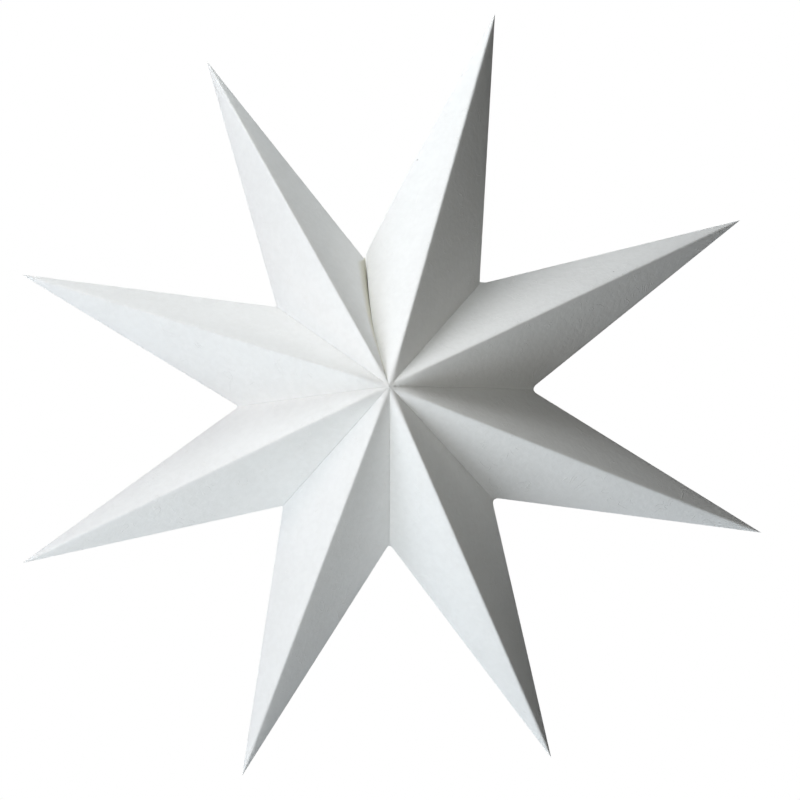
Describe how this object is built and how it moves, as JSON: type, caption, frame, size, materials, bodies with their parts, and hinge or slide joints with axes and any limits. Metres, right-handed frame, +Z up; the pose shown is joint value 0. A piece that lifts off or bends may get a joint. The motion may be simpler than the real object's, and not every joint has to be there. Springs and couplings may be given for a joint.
{
  "type": "paper star",
  "caption": "Folded paper star with hollow pointed arms, glued side by side round an open hub and closed at one seam, the same front and back.",
  "frame": {"origin": "middle of the star, on the line from the front hub to the back hub", "axes": "+Z up and +X to the right as seen from the front, with the star's face in the XZ plane; +Y from the front hub to the back hub"},
  "size_m": [0.5618, 0.1588, 0.582],
  "materials": {
    "paper": "matt white handmade paper with fine fibres",
    "tape": "white double-sided foam tape"
  },
  "bodies": {
    "root": {"arm_1": "paper", "arm_2": "paper", "arm_3": "paper", "arm_4": "paper", "arm_5": "paper", "arm_6": "paper", "arm_7": "paper", "arm_8": "paper", "closing_tape": "tape"}
  },
  "joints": []
}
